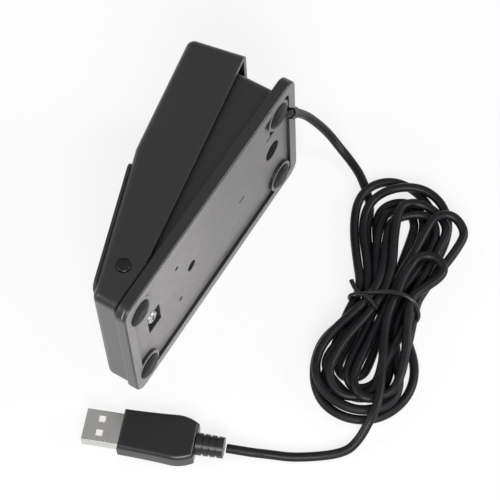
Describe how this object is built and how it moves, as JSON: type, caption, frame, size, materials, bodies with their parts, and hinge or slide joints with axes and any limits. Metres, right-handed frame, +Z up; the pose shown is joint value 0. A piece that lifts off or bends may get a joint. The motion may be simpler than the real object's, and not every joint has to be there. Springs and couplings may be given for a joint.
{
  "type": "foot switch",
  "caption": "Foot pedal switch, wedge-shaped hood hinged at the heel over a flat base with rubber feet, its cord wound into a tied hank and ending in a plug",
  "frame": {"origin": "Middle of the footprint of the switch itself as it lies on its side, on the floor (the cord, its hank and its plug are left out of this).", "axes": "Stored lying on its side, as in the picture: +Z up from the floor through the side of the pedal, +Y from the heel (hinge) to the toe, +X from the tread towards the underside with its feet. To stand it on its feet, turn it by 90 degrees about +Y so that +X points down."},
  "size_m": [0.1232, 0.1487, 0.06],
  "materials": {
    "black_body": "satin moulded black plastic, finely spark-eroded",
    "black_rubber": "dull black rubber",
    "tread": "dull black rubber with cross ribs",
    "steel": "plain bright steel",
    "dark_steel": "blackened steel",
    "nickel": "bright nickel plate",
    "gold": "thin gold plate",
    "tongue": "white moulded plastic",
    "jacket": "smooth black cord jacket, a little soft",
    "board_green": "green solder mask over glass laminate",
    "chip_black": "black moulding compound",
    "can_metal": "drawn metal can",
    "connector_white": "ivory plastic",
    "wires": "coloured lead insulation"
  },
  "bodies": {
    "base": {"base_housing": "black_body", "hinge_pin": "dark_steel", "pin_lock_screw": "steel", "circuit_board": "board_green", "board_screws": "steel", "controller_chip": "chip_black", "crystal_can": "can_metal", "board_capacitors": "can_metal", "cable_header": "connector_white", "lead_plug": "connector_white", "switch_housing": "chip_black", "switch_terminals": "steel", "return_spring": "steel", "cord_sleeve": "black_rubber", "cord_clamp": "black_body", "clamp_screws": "steel", "inner_cord": "jacket", "inner_leads": "wires", "foot_heel_left": "black_rubber", "foot_toe_left": "black_rubber", "foot_heel_right": "black_rubber", "foot_toe_right": "black_rubber", "cord_run": "jacket", "cord_hank": "jacket", "cord_tail": "jacket", "cord_tie": "black_rubber", "plug_relief": "black_body", "plug_grip": "black_body", "plug_shell": "nickel", "plug_tongue": "tongue", "plug_contacts": "gold"},
    "pedal": {"pedal_cover": "black_body", "tread_pad": "tread"},
    "lever": {"switch_lever": "steel"},
    "button": {"switch_button": "connector_white"}
  },
  "joints": [
    {"name": "pedal_hinge", "type": "hinge", "parent": "base", "child": "pedal", "pos_m": [0.00856, -0.0376, 0.03], "axis": [0, 0, -1], "range_deg": [0, 9], "stiffness_Nm_per_rad": 1.2, "springref_deg": -8.59, "deforming": ["return_spring"]},
    {"name": "switch_lever_hinge", "type": "hinge", "parent": "base", "child": "lever", "pos_m": [0.00266, -0.0236, 0.03], "axis": [0, 0, -1], "range_deg": [0, 18.01]},
    {"name": "switch_button_slide", "type": "slide", "parent": "base", "child": "button", "axis": [1, 0, 0], "range_m": [0, 0.00137]}
  ],
  "couplings": [
    {"joint": "switch_lever_hinge", "follows": "pedal_hinge", "ratio": 2},
    {"joint": "switch_button_slide", "follows": "pedal_hinge", "m_per_rad": 0.0087}
  ]
}
